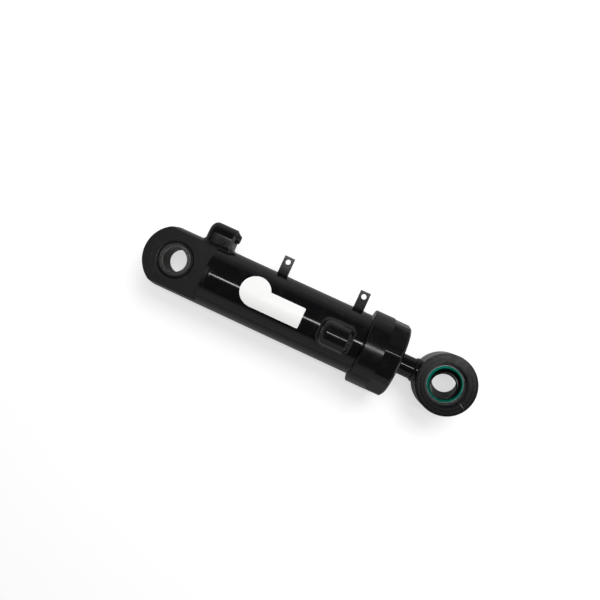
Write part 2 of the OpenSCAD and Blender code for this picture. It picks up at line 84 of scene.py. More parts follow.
class CylinderSizes(bpy.types.PropertyGroup):
    """Sizes that the frame's boxes don't give."""

    lug_reach: FloatProperty(
        name="Lug reach", description="From the base pin to the shoulder where the lug flats end",
        default=0.059, unit="LENGTH")
    seat_chamfer: FloatProperty(
        name="Seat chamfer", description="Chamfer round the seat of a dust seal",
        default=0.003, unit="LENGTH")
    face_ring: FloatProperty(
        name="Face ring", description="Radius of the ring that the facing tool left round the base pin",
        default=0.0402, unit="LENGTH")
    edge: FloatProperty(
        name="Edge", description="Rounding of machined edges under the paint",
        default=0.0008, unit="LENGTH")
    gland_round: FloatProperty(
        name="Gland collar", description="Length of the round part of the gland collar",
        default=0.034, unit="LENGTH")
    gland_flats: FloatProperty(
        name="Gland flats", description="Distance across the spanner flats of the gland",
        default=0.122, unit="LENGTH")
    gland_gap: FloatProperty(
        name="Gland gap", description="Gap between the barrel and the gland collar",
        default=0.0025, unit="LENGTH")
    gland_turn: FloatProperty(
        name="Gland turn", description="Angle of the flats about the rod",
        default=math.radians(8.5), subtype="ANGLE")
    boss_bevel: FloatProperty(
        name="Boss bevel", description="Chamfer round the open end of a port boss",
        default=0.0043, unit="LENGTH")
    boss_dome: FloatProperty(
        name="Boss dome", description="Rounding of the closed end of a port boss",
        default=0.011, unit="LENGTH")
    port_rise: FloatProperty(
        name="Port rise", description="From the axis of a boss out to the axis of its port",
        default=0.0073, unit="LENGTH")
    port_turn: FloatProperty(
        name="Rod port angle", description="Angle of the rod-side port about the rod, from +Y",
        default=math.radians(92), subtype="ANGLE")
    boss_weld: FloatProperty(
        name="Boss weld", description="Leg of the fillet weld round a port boss",
        default=0.005, unit="LENGTH")
    tab_weld: FloatProperty(
        name="Tab weld", description="Leg of the fillet weld round a pipe tab",
        default=0.0016, unit="LENGTH")
    tab_hole: FloatProperty(
        name="Tab hole", description="Diameter of the bolt hole in a pipe tab",
        default=0.009, unit="LENGTH")
    tab_hole_back: FloatProperty(
        name="Tab hole place", description="From the top of a pipe tab down to its hole",
        default=0.009, unit="LENGTH")
    neck_flare: FloatProperty(
        name="Neck flare", description="Fillet between the neck and the ring of the rod eye",
        default=0.0214, unit="LENGTH")
    round_steps: IntProperty(
        name="Round steps", description="Facets round a turned surface",
        default=160, min=48, max=512)


class CylinderFinish(bpy.types.PropertyGroup):
    """Colours and gloss of the finishes."""

    paint: FloatVectorProperty(
        name="Paint", description="Colour of the enamel",
        default=(0.0042, 0.0042, 0.0048), subtype="COLOR", min=0, max=1)
    paint_gloss: FloatProperty(
        name="Paint roughness", description="Roughness of the enamel on the barrel",
        default=0.09, subtype="FACTOR", min=0, max=1)
    base_face: FloatProperty(
        name="Base face roughness", description="Roughness of the enamel on the turned faces of the base eye",
        default=0.46, subtype="FACTOR", min=0, max=1)
    rod_face: FloatProperty(
        name="Rod face roughness", description="Roughness of the enamel on the turned faces of the rod eye",
        default=0.2, subtype="FACTOR", min=0, max=1)
    peel: FloatProperty(
        name="Orange peel", description="Height of the waves in the enamel",
        default=0.000012, unit="LENGTH", precision=6)
    dust: FloatProperty(
        name="Dust", description="Amount of fine dust on the enamel",
        default=0.12, subtype="FACTOR", min=0, max=1)
    dark_steel: FloatVectorProperty(
        name="Dark steel", description="Colour of the blackened steel of the pin bush",
        default=(0.15, 0.145, 0.14), subtype="COLOR", min=0, max=1)
    seal: FloatVectorProperty(
        name="Seal", description="Colour of the bearing seals",
        default=(0.0, 0.27, 0.19), subtype="COLOR", min=0, max=1)
    label: FloatVectorProperty(
        name="Label", description="Colour of the blank label",
        default=(0.9, 0.9, 0.89), subtype="COLOR", min=0, max=1)


class StageSettings(bpy.types.PropertyGroup):
    """Floor, light and camera."""

    floor: FloatVectorProperty(
        name="Floor", description="Colour of the floor",
        default=(0.55, 0.55, 0.55), subtype="COLOR", min=0, max=1)
    glow: FloatProperty(
        name="Floor glow", description="Light that the floor adds to what the eye sees of it",
        default=0.56, min=0)
    mirrored: FloatProperty(
        name="Floor in reflections", description="Share of the floor's brightness that reflections see",
        default=0.62, subtype="FACTOR", min=0, max=1)
    sky: FloatProperty(
        name="Sky", description="Brightness of the soft light from all round",
        default=0.3, min=0)
    strip: FloatProperty(
        name="Strip light", description="Power of the long lamp over the cylinder",
        default=28.0, min=0, subtype="POWER", unit="POWER")
    key: FloatProperty(
        name="Key light", description="Power of the large lamp at the side",
        default=26.0, min=0, subtype="POWER", unit="POWER")
    lens: FloatProperty(
        name="Lens", description="Focal length of the camera, in millimetres",
        default=34.2, min=1)


def sizes():
    """The scene's sizes."""
    return bpy.context.scene.cylinder_sizes


def finish():
    """The scene's colours and gloss."""
    return bpy.context.scene.cylinder_finish


# ---------------------------------------------------------------- meshes


def fillet(before, corner, after, radius):
    """Points of the arc that rounds a corner of an outline."""
    a, c, b = Vector(before), Vector(corner), Vector(after)
    u, v = (a - c).normalized(), (b - c).normalized()
    half = u.angle(v) / 2
    if half > math.pi / 2 - 0.01:
        return [tuple(c)]
    reach = min(radius / math.tan(half), 0.49 * (a - c).length, 0.49 * (b - c).length)
    radius = reach * math.tan(half)
    middle = c + (u + v).normalized() * (radius / math.sin(half))
    start, end = c + u * reach - middle, c + v * reach - middle
    sweep = start.angle_signed(end)
    points = []
    for i in range(FILLET_STEPS + 1):
        turn = -sweep * i / FILLET_STEPS
        points.append((middle.x + start.x * math.cos(turn) - start.y * math.sin(turn),
                       middle.y + start.x * math.sin(turn) + start.y * math.cos(turn)))
    return points


def rounded(corners, closed=False):
    """An outline from (u, v) or (u, v, radius) corners, the ones with a radius rounded."""
    count = len(corners)
    points = []
    for i, corner in enumerate(corners):
        at_end = not closed and i in (0, count - 1)
        if len(corner) < 3 or at_end:
            points.append(tuple(corner[:2]))
        else:
            before, after = corners[i - 1], corners[(i + 1) % count]
            points += fillet(before[:2], corner[:2], after[:2], corner[2])
    return points


def arc(centre, radius, start, end, steps):
    """Points of an arc, its angles in degrees."""
    angles = [math.radians(start + (end - start) * i / steps) for i in range(steps + 1)]
    return [(centre[0] + radius * math.cos(a), centre[1] + radius * math.sin(a)) for a in angles]


def place(axis, along, u, v):
    """A point from its distance along an axis and its two places across it."""
    return {"X": (along, u, v), "Y": (u, along, v), "Z": (u, v, along)}[axis]


def to_object(name, bm, sharp=25):
    """A linked object from a bmesh, smooth except at edges sharper than an angle in degrees."""
    bmesh.ops.remove_doubles(bm, verts=bm.verts, dist=1e-7)
    bmesh.ops.recalc_face_normals(bm, faces=bm.faces)
    mesh = bpy.data.meshes.new(name)
    bm.to_mesh(mesh)
    bm.free()
    smooth(mesh, sharp)
    piece = bpy.data.objects.new(name, mesh)
    bpy.context.scene.collection.objects.link(piece)
    return piece


def smooth(mesh, sharp=25):
    """Shades a mesh smooth except at edges sharper than an angle in degrees."""
    mesh.shade_smooth()
    mesh.set_sharp_from_angle(angle=math.radians(sharp))


def lathe(name, outline, axis="X", centre=(0, 0, 0), steps=None, sharp=25, trim=None):
    """A solid turned about an axis from (radius, along) points. It may start and end on the axis.

    trim takes a radius, its place along the axis and its angle, and gives the radius there.
    """
    steps = steps or sizes().round_steps
    bm = bmesh.new()
    rings = []
    for radius, along in outline:
        count = 1 if radius < 1e-8 else steps
        ring = []
        for i in range(count):
            a = math.tau * i / steps
            r = trim(radius, along, a) if trim else radius
            point = place(axis, along, r * math.cos(a), r * math.sin(a))
            ring.append(bm.verts.new(Vector(point) + Vector(centre)))
        rings.append(ring)
    closed = len(rings[0]) > 1 and len(rings[-1]) > 1
    for low, high in zip(rings, rings[1:] + ([rings[0]] if closed else [])):
        for i in range(steps):
            j = (i + 1) % steps
            corners = [low[i % len(low)], low[j % len(low)], high[j % len(high)], high[i % len(high)]]
            unique = list(dict.fromkeys(corners))
            if len(unique) > 2:
                bm.faces.new(unique)
    return to_object(name, bm, sharp)


def slab(name, outline, low, high, axis="Z"):
    """A flat outline drawn out along an axis."""
    bm = bmesh.new()
    ends = [[bm.verts.new(place(axis, along, u, v)) for u, v in outline] for along in (low, high)]
    count = len(outline)
    for i in range(count):
        j = (i + 1) % count
        bm.faces.new([ends[0][i], ends[0][j], ends[1][j], ends[1][i]])
    bm.faces.new(ends[0])
    bm.faces.new(ends[1])
    return to_object(name, bm)


def bake(piece, sharp=25):
    """Applies a piece's modifiers to its mesh."""
    graph = bpy.context.evaluated_depsgraph_get()
    mesh = bpy.data.meshes.new_from_object(piece.evaluated_get(graph), depsgraph=graph)
    piece.modifiers.clear()
    old = piece.data
    piece.data = mesh
    mesh.name = piece.name
    bpy.data.meshes.remove(old)
    if sharp:
        smooth(mesh, sharp)


def shape(piece, tool, operation="DIFFERENCE"):
    """Cuts a piece with a tool, joins the two or keeps what they share, and uses the tool up."""
    step = piece.modifiers.new("shape", "BOOLEAN")
    step.object = tool
    step.operation = operation
    step.solver = "EXACT"
    bake(piece)
    bpy.data.objects.remove(tool)
    if not piece.data.polygons:
        raise RuntimeError(f"nothing is left of {piece.name}")


def soften(piece, width, low=25, segments=3):
    """Rounds the edges of a piece that turn by at least an angle in degrees."""
    bm = bmesh.new()
    bm.from_mesh(piece.data)
    layer = bm.edges.layers.float.new("bevel_weight_edge")
    for edge in bm.edges:
        edge[layer] = 1.0 if math.degrees(edge.calc_face_angle(0)) >= low else 0.0
    bm.to_mesh(piece.data)
    bm.free()
    bevel = piece.modifiers.new("edges", "BEVEL")
    bevel.width = width
    bevel.segments = segments
    bevel.limit_method = "WEIGHT"
    bevel.miter_outer = "MITER_ARC"
    bevel.use_clamp_overlap = True
    bake(piece, sharp=0)
    piece.data.attributes.remove(piece.data.attributes["bevel_weight_edge"])
    smooth(piece.data)


def even_out(piece):
    """Weighs a piece's normals by the size of its faces, so that flat faces stay flat."""
    weight = piece.modifiers.new("normals", "WEIGHTED_NORMAL")
    weight.keep_sharp = True
    weight.weight = 80
    bake(piece, sharp=0)


def bead_ring(name, start, end, crown, ripple, depth):
    """A weld bead round X between two (radius, x) edges, with its ripples."""
    length = math.tau * (start[0] + end[0]) / 2
    count = round(length / ripple)
    steps, across = count * RIPPLE_STEPS, WELD_STEPS + 1
    run = Vector(end) - Vector(start)
    out = Vector((run.y, -run.x)).normalized()
    bm = bmesh.new()
    rows = []
    for i in range(steps):
        a = math.tau * i / steps
        row = []
        for j in range(across + 1):
            t = j / across
            phase = i / RIPPLE_STEPS + 0.45 * (2 * t - 1) ** 2
            scale = abs(math.sin(math.pi * phase))
            wander = 0.12 * math.sin(5 * a + 1) + 0.08 * math.sin(11 * a)
            lift = crown * 4 * t * (1 - t) * (1 + wander) + depth * (scale - 0.5) * 4 * t * (1 - t)
            r = start[0] + run.x * t + out.x * lift
            x = start[1] + run.y * t + out.y * lift
            row.append(bm.verts.new((x, r * math.cos(a), r * math.sin(a))))
        rows.append(row)
    for low, high in zip(rows, rows[1:] + rows[:1]):
        for j in range(across):
            bm.faces.new([low[j], low[j + 1], high[j + 1], high[j]])
    return to_object(name, bm, sharp=60)


def weld_skirt(name, outline, barrel_r, leg, rise, ripple, front=0.0):
    """A fillet weld on the barrel in +Y, round the foot of what stands there. The outline lies in XZ.

    front is how much longer its leg is at the +X end.
    """
    points = [Vector(p) for p in outline]
    count = len(points)
    lengths = [(points[(i + 1) % count] - p).length for i, p in enumerate(points)]
    total = sum(lengths)
    waves = round(total / ripple)
    steps, across = waves * RIPPLE_STEPS, WELD_STEPS
    bm = bmesh.new()
    rows, side, done = [], 0, 0.0
    for k in range(steps):
        place_on = total * k / steps
        while place_on - done > lengths[side]:
            done += lengths[side]
            side += 1
        a, b = points[side], points[(side + 1) % count]
        t = (place_on - done) / lengths[side]
        p = a.lerp(b, t)
        before, after = points[side - 1], points[(side + 2) % count]
        turned = (b - before if t < 0.5 else after - a).normalized()
        heading = (b - a).normalized().lerp(turned, abs(2 * t - 1))
        normal = Vector((heading.y, -heading.x)).normalized()
        swell = 1 + 0.07 * math.sin(7 * math.tau * k / steps) + 0.05 * math.sin(17 * math.tau * k / steps + 2)
        row = []
        for j in range(across + 1):
            t_out = j / across
            d = leg * swell * t_out * (1 + front * max(normal.x, 0) ** 2)
            q = p + normal * (d - 0.3 * MM)
            scale = abs(math.sin(math.pi * (k / RIPPLE_STEPS + 0.4 * (2 * t_out - 1) ** 2)))
            hollow = (1 - t_out) ** 1.7
            bump = 0.16 * MM * (scale - 0.5) * 4 * t_out * (1 - t_out)
            surface = math.sqrt(max(barrel_r ** 2 - q.y ** 2, 0))
            y = surface + rise * swell * hollow + bump - (0.25 * MM if j == across else 0)
            row.append(bm.verts.new((q.x, y, q.y)))
        rows.append(row)
    for low, high in zip(rows, rows[1:] + rows[:1]):
        for j in range(across):
            bm.faces.new([low[j], low[j + 1], high[j + 1], high[j]])
    return to_object(name, bm, sharp=60)


def settle(piece, body, slot, material, *nodes):
    """Rides a finished piece on its body, in place of the CAD nodes that it stands for."""
    even_out(piece)
    piece.data.materials.clear()
    piece.data.materials.append(material)
    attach(piece, body)
    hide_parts(*nodes)


def coat(material, *nodes):
    """Gives CAD nodes their material."""
    for name in nodes:
        NODES[name].data.materials.clear()
        NODES[name].data.materials.append(material)


# ---------------------------------------------------------------- shader tools


def put(tree, kind, inputs=(), **settings):
    """A shader node of a kind, with its settings and inputs. An input that is a socket is linked."""
    node = tree.nodes.new("ShaderNode" + kind)
    for name, value in settings.items():
        setattr(node, name, value)
    for name, value in dict(inputs).items():
        if isinstance(value, bpy.types.NodeSocket):
            tree.links.new(value, node.inputs[name])
        else:
            node.inputs[name].default_value = value
    return node


def calc(tree, operation, *values, clamp=False):
    """A Math node's result."""
    node = put(tree, "Math", dict(enumerate(values)), operation=operation, use_clamp=clamp)
    return node.outputs[0]


def times(tree, a, b, clamp=False):
    """The product of two values."""
    return calc(tree, "MULTIPLY", a, b, clamp=clamp)


def plus(tree, a, b, clamp=False):
    """The sum of two values."""
    return calc(tree, "ADD", a, b, clamp=clamp)


def ramp(tree, value, low, high, to_low=0.0, to_high=1.0):
    """A value taken smoothly from one range to another."""
    inputs = {"Value": value, "From Min": low, "From Max": high, "To Min": to_low, "To Max": to_high}
    return put(tree, "MapRange", inputs, interpolation_type="SMOOTHSTEP").outputs["Result"]


def blend(tree, factor, a, b):
    """Two colours mixed by a factor. Each is a socket or a plain colour."""
    a, b = (value if isinstance(value, bpy.types.NodeSocket) else (*value, 1) for value in (a, b))
    return put(tree, "Mix", {0: factor, 6: a, 7: b}, data_type="RGBA").outputs[2]


def noise(tree, position, scale, detail=3.0, roughness=0.5):
    """Noise between 0 and 1 at a position."""
    inputs = {"Vector": position, "Scale": scale, "Detail": detail, "Roughness": roughness}
    return put(tree, "TexNoise", inputs).outputs["Fac"]


def spread(tree, position, factors):
    """A position stretched by three factors."""
    return put(tree, "VectorMath", {0: position, 1: factors}, operation="MULTIPLY").outputs[0]


def part(tree, vector, axis):
    """One component of a vector."""
    return put(tree, "SeparateXYZ", {"Vector": vector}).outputs[axis]


def off_axis(tree, position, axis, centre):
    """Distance of a position from an axis through a centre."""
    keep = {"X": (0, 1, 1), "Z": (1, 1, 0)}[axis]
    moved = put(tree, "VectorMath", {0: position, 1: centre}, operation="SUBTRACT").outputs[0]
    flat = spread(tree, moved, keep)
    return put(tree, "VectorMath", {0: flat}, operation="LENGTH").outputs["Value"]


def group(name, inputs, outputs):
    """A new shader node group and its two end nodes, or an old one and None for its nodes."""
    if name in bpy.data.node_groups:
        return bpy.data.node_groups[name], None, None
    tree = bpy.data.node_groups.new(name, "ShaderNodeTree")
    for label, kind, default in inputs:
        socket = tree.interface.new_socket(name=label, in_out="INPUT", socket_type=kind)
        if default is not None:
            socket.default_value = default
    for label in outputs:
        tree.interface.new_socket(name=label, in_out="OUTPUT", socket_type="NodeSocketFloat")
    return tree, tree.nodes.new("NodeGroupInput"), tree.nodes.new("NodeGroupOutput")


def use(tree, made, **inputs):
    """The outputs of a group placed in a material."""
    return put(tree, "Group", inputs, node_tree=made).outputs


def orange_peel():
    """Long soft waves and fine texture of sprayed enamel."""
    tree, start, end = group(
        "Orange peel",
        [("Position", "NodeSocketVector", None), ("Wave", "NodeSocketFloat", 420.0)],
        ["Height", "Sheen"])
    if start:
        wave = noise(tree, start.outputs["Position"], start.outputs["Wave"], 1.5, 0.4)
        sag = noise(tree, spread(tree, start.outputs["Position"], (1, 0.5, 0.5)), 55.0, 2.0)
        height = calc(tree, "MULTIPLY_ADD", sag, 1.2, wave)
        tree.links.new(height, end.inputs["Height"])
        haze = noise(tree, start.outputs["Position"], 24.0, 4.0, 0.6)
        tree.links.new(ramp(tree, haze, 0.35, 0.7), end.inputs["Sheen"])
    return tree


def settled_dust():
    """Fine dust: specks and faint clouds, on what faces up."""
    tree, start, end = group(
        "Settled dust",
        [("Position", "NodeSocketVector", None), ("Amount", "NodeSocketFloat", 0.1)],
        ["Mask"])
    if start:
        position = start.outputs["Position"]
        cells = put(tree, "TexVoronoi", {"Vector": position, "Scale": 420.0}, feature="F1")
        chance = put(tree, "SeparateColor", {"Color": cells.outputs["Color"]}).outputs["Red"]
        near = ramp(tree, cells.outputs["Distance"], 0.06, 0.16, 1.0, 0.0)
        speck = times(tree, near, ramp(tree, chance, 0.86, 0.9))
        cloud = ramp(tree, noise(tree, position, 60.0, 5.0, 0.65), 0.5, 0.8, 0.0, 0.35)
        up = ramp(tree, part(tree, put(tree, "NewGeometry").outputs["Normal"], "Z"), -0.1, 0.7)
        both = times(tree, plus(tree, speck, cloud), up)
        tree.links.new(times(tree, both, start.outputs["Amount"], clamp=True), end.inputs["Mask"])
    return tree


def edge_wear():
    """Mask of edges rubbed thin, broken up by noise."""
    tree, start, end = group(
        "Edge wear",
        [("Position", "NodeSocketVector", None), ("Width", "NodeSocketFloat", 0.0006),
         ("Amount", "NodeSocketFloat", 0.3)],
        ["Mask"])
    if start:
        eased = put(tree, "Bevel", {"Radius": start.outputs["Width"]}, samples=4).outputs["Normal"]
        true = put(tree, "NewGeometry").outputs["Normal"]
        same = put(tree, "VectorMath", {0: eased, 1: true}, operation="DOT_PRODUCT").outputs["Value"]
        edge = ramp(tree, same, 0.86, 0.995, 1.0, 0.0)
        broken = ramp(tree, noise(tree, start.outputs["Position"], 300.0, 6.0, 0.7), 0.45, 0.7)
        worn = times(tree, edge, broken)
        tree.links.new(times(tree, worn, start.outputs["Amount"]), end.inputs["Mask"])
    return tree


def turning_marks():
    """Rings that a cutting tool leaves, from the distance to the axis that the work turned about."""
    tree, start, end = group(
        "Turning marks",
        [("Distance", "NodeSocketFloat", 0.0), ("Feed", "NodeSocketFloat", 0.00035),
         ("Position", "NodeSocketVector", None)],
        ["Height", "Streaks"])
    if start:
        wobble = times(tree, noise(tree, start.outputs["Position"], 30.0), 0.0003)
        distance = plus(tree, start.outputs["Distance"], wobble)
        along = calc(tree, "DIVIDE", distance, start.outputs["Feed"])
        fine, broad = (
            put(tree, "TexNoise", {"W": along, "Scale": scale, "Detail": detail}, noise_dimensions="1D")
            for scale, detail in ((1.0, 3.0), (0.12, 2.0)))
        tree.links.new(fine.outputs["Fac"], end.inputs["Height"])
        tree.links.new(ramp(tree, broad.outputs["Fac"], 0.35, 0.65), end.inputs["Streaks"])
    return tree


def material(name, **constants):
    """A material with a Principled shader. Gives it with its tree, shader, object position and normal."""
    made = bpy.data.materials.new(name)
    made.use_nodes = True
    tree = made.node_tree
    tree.nodes.clear()
    shader = put(tree, "BsdfPrincipled", {key.replace("_", " "): value for key, value in constants.items()})
    put(tree, "OutputMaterial", {"Surface": shader.outputs["BSDF"]})
    coordinates = put(tree, "TexCoord")
    return made, tree, shader, coordinates.outputs["Object"], coordinates.outputs["Normal"]


def dress(tree, shader, colour, rough, height, depth):
    """Links a colour, a roughness and a relief of some depth to a shader."""
    bump = put(tree, "Bump", {"Height": height, "Distance": depth}).outputs["Normal"]
    for value, name in ((colour, "Base Color"), (rough, "Roughness"), (bump, "Normal")):
        tree.links.new(value, shader.inputs[name])


def kept(maker):
    """Makes a material once, and gives it back when it is asked for again."""
    def ask(name, *args, **kwargs):
        name += "_finish"
        return bpy.data.materials.get(name) or maker(name, *args, **kwargs)
    ask.__doc__ = maker.__doc__
    return ask


# ---------------------------------------------------------------- finishes


def lighter(colour, factor, lift=0.0):
    """A colour multiplied and lifted, up to white."""
    return [min(1, c * factor + lift) for c in colour]


@kept
def enamel(name, gloss=0.0, centre=None, face_gloss=0.5, weld=False):
    """Gloss black enamel.

    gloss adds roughness, centre gives faces turned about Z there, and weld adds spatter.
    """
    look = finish()
    made, tree, shader, position, normal = material(name, IOR=1.5)
    peel = use(tree, orange_peel(), Position=position)
    dust = use(tree, settled_dust(), Position=position, Amount=look.dust)["Mask"]
    wear = use(tree, edge_wear(), Position=position, Amount=0.25)["Mask"]
    rough = ramp(tree, peel["Sheen"], 0.0, 1.0, look.paint_gloss + gloss, look.paint_gloss + gloss + 0.04)
    height = times(tree, peel["Height"], look.peel / MM)
    if weld:
        grit = noise(tree, position, 900.0, 5.0, 0.7)
        height = calc(tree, "MULTIPLY_ADD", grit, 0.04, height)
        rough = plus(tree, rough, 0.03)
    if centre:
        distance = off_axis(tree, position, "Z", centre)
        marks = use(tree, turning_marks(), Distance=distance, Position=position)
        face = ramp(tree, calc(tree, "ABSOLUTE", part(tree, normal, "Z")), 0.94, 0.995)
        face_rough = ramp(tree, marks["Streaks"], 0.0, 1.0, face_gloss - 0.03, face_gloss + 0.05)
        change = calc(tree, "SUBTRACT", face_rough, rough)
        rough = plus(tree, rough, times(tree, face, change))
        cut = times(tree, times(tree, marks["Height"], face), 0.018)
        height = plus(tree, height, cut)
    rough = plus(tree, rough, times(tree, dust, 0.3), clamp=True)
    colour = blend(tree, dust, look.paint, (0.16, 0.155, 0.145))
    colour = blend(tree, wear, colour, (0.05, 0.05, 0.052))
    dress(tree, shader, colour, rough, height, MM)
    return made


@kept
def turned_steel(name, colour, rough, axis, centre, feed=0.00035, oil=0.1):
    """Bare steel: ground where it faces its axis, turned on its end faces, with faint oil stains."""
    made, tree, shader, position, normal = material(name, Metallic=1.0)
    distance = off_axis(tree, position, axis, centre)
    marks = use(tree, turning_marks(), Distance=distance, Feed=feed, Position=position)
    face = ramp(tree, calc(tree, "ABSOLUTE", part(tree, normal, axis)), 0.85, 0.98)
    along = {"X": (60, 900, 900), "Z": (900, 900, 60)}[axis]
    hone = noise(tree, spread(tree, position, along), 1.0, 4.0, 0.6)
    rings = times(tree, marks["Height"], face)
    height = plus(tree, rings, times(tree, hone, 0.25))
    stain = ramp(tree, noise(tree, position, 70.0, 6.0, 0.6), 0.48, 0.75, 0.0, oil)
    wear = use(tree, edge_wear(), Position=position, Width=0.0004, Amount=0.5)["Mask"]
    oiled = [c * tint for c, tint in zip(colour, (0.3, 0.2, 0.12))]
    shade = blend(tree, wear, blend(tree, stain, colour, oiled), (0.8, 0.79, 0.77))
    spin = times(tree, marks["Streaks"], times(tree, face, 0.12))
    rough = plus(tree, plus(tree, spin, rough), times(tree, hone, 0.08))
    dress(tree, shader, shade, rough, height, 0.025 * MM)
    return made


@kept
def chrome_rod(name, paint_from):
    """Ground hard chrome, its end beyond paint_from on X covered by the enamel of the assembly."""
    look = finish()
    made, tree, shader, position, _ = material(name, IOR=1.5)
    ragged = times(tree, noise(tree, position, 350.0, 4.0), 0.0016)
    x = plus(tree, part(tree, position, "X"), ragged)
    painted = ramp(tree, x, paint_from, paint_from + 1.2 * MM)
    bare = calc(tree, "SUBTRACT", 1.0, painted)
    grind = noise(tree, spread(tree, position, (2400, 200, 200)), 1.0, 3.0)
    peel = use(tree, orange_peel(), Position=position)
    colour = blend(tree, painted, (0.78, 0.79, 0.80), look.paint)
    tree.links.new(bare, shader.inputs["Metallic"])
    rough = calc(tree, "MULTIPLY_ADD", grind, 0.05, 0.06)
    smooth_part = times(tree, times(tree, grind, bare), 0.004)
    paint_part = times(tree, times(tree, peel["Height"], painted), look.peel / MM)
    dress(tree, shader, colour, rough, plus(tree, smooth_part, paint_part), MM)
    return made


@kept
def coated_steel(name, colour, patch, rough, metallic):
    """Zinc or phosphate on steel: crystalline patches and a fine tooth."""
    made, tree, shader, position, _ = material(name, Metallic=metallic)
    cells = put(tree, "TexVoronoi", {"Vector": position, "Scale": 1500.0}).outputs["Color"]
    tone = put(tree, "SeparateColor", {"Color": cells}).outputs["Red"]
    cloud = noise(tree, position, 160.0, 5.0, 0.6)
    mixed = times(tree, plus(tree, tone, cloud), 0.5)
    wear = use(tree, edge_wear(), Position=position, Width=0.0003, Amount=0.6)["Mask"]
    shade = blend(tree, wear, blend(tree, mixed, colour, patch), lighter(colour, 1.6, 0.05))
    rough = calc(tree, "MULTIPLY_ADD", cloud, 0.18, rough)
    dress(tree, shader, shade, rough, noise(tree, position, 2500.0, 3.0), 0.02 * MM)
    return made


@kept
def moulded(name, colour, rough, tooth=0.00001, dust=0.1, subsurface=0.0):
    """Moulded rubber or plastic: fine tooth, faint flow marks and a little dust."""
    made, tree, shader, position, _ = material(
        name, IOR=1.48, Subsurface_Weight=subsurface, Subsurface_Scale=0.001)
    flow = noise(tree, spread(tree, position, (90, 90, 260)), 1.0, 4.0, 0.6)
    mask = use(tree, settled_dust(), Position=position, Amount=dust)["Mask"]
    wear = use(tree, edge_wear(), Position=position, Width=0.0003, Amount=0.35)["Mask"]
    base = blend(tree, flow, lighter(colour, 0.8), lighter(colour, 1.15, 0.004))
    shade = blend(tree, mask, base, (0.3, 0.29, 0.27))
    shade = blend(tree, wear, shade, lighter(colour, 1.5, 0.02))
    rough = calc(tree, "MULTIPLY_ADD", flow, 0.14, rough)
    dress(tree, shader, shade, rough, noise(tree, position, 2200.0, 4.0, 0.6), tooth)
    return made


@kept
def woven_resin(name, colour):
    """Fabric laminated in resin: a fine plain weave that shows in colour and relief."""
    made, tree, shader, position, _ = material(name, IOR=1.5)
    axes = put(tree, "SeparateXYZ", {"Vector": position})
    turn = calc(tree, "ARCTAN2", axes.outputs["Z"], axes.outputs["Y"])
    warp = calc(tree, "SINE", times(tree, turn, 420.0))
    weft = calc(tree, "SINE", times(tree, axes.outputs["X"], 9000.0))
    thread = times(tree, warp, weft)
    shade = blend(tree, ramp(tree, thread, -0.6, 0.6), lighter(colour, 0.6), colour)
    dress(tree, shader, shade, ramp(tree, thread, -1.0, 1.0, 0.4, 0.62), thread, 0.03 * MM)
    return made


@kept
def label_vinyl(name):
    """Blank white vinyl, slightly uneven, with a little dust."""
    made, tree, shader, position, _ = material(name, IOR=1.5)
    cloud = noise(tree, position, 45.0, 4.0, 0.5)
    mask = use(tree, settled_dust(), Position=position, Amount=0.05)["Mask"]
    shade = blend(tree, ramp(tree, cloud, 0.3, 0.7, 0.0, 0.12), finish().label, (0.8, 0.81, 0.8))
    shade = blend(tree, mask, shade, (0.4, 0.38, 0.35))
    rough = ramp(tree, cloud, 0.3, 0.7, 0.3, 0.42)
    dress(tree, shader, shade, rough, noise(tree, position, 160.0, 3.0), 0.03 * MM)
    return made


def paint():
    """The enamel of the barrel."""
    return enamel("black_paint")


def weld_paint():
    """The enamel over a weld."""
    return enamel("black_paint_weld", gloss=0.05, weld=True)


def rubber():
    """The rubber of the seals."""
    return moulded("black_rubber", (0.016, 0.016, 0.017), 0.42, 0.000015, 0.2)


# ---------------------------------------------------------------- pieces


def barrel_radius():
    """Outer radius of the barrel."""
    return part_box("barrel_tube")[1].z


def cut_bore(eye, half_outline, centre, steps=None):
    """Cuts a bore along Z, the same on both sides, from (radius, z) points that run to its middle."""
    mirrored = [(r, -z) for r, z in reversed(half_outline)]
    shape(eye, lathe("bore", half_outline + mirrored, "Z", centre, steps))


def cut_pocket(eye, end_x, inward):
    """Cuts the pocket of a grease nipple into the end of an eye. inward is its direction along X."""
    outside, bottom = end_x - inward * PAST, end_x + inward * POCKET_DEPTH
    outline = rounded([(0, outside), (POCKET_R, outside), (POCKET_R, bottom, MM), (0, bottom)])
    shape(eye, lathe("pocket", outline, steps=48))


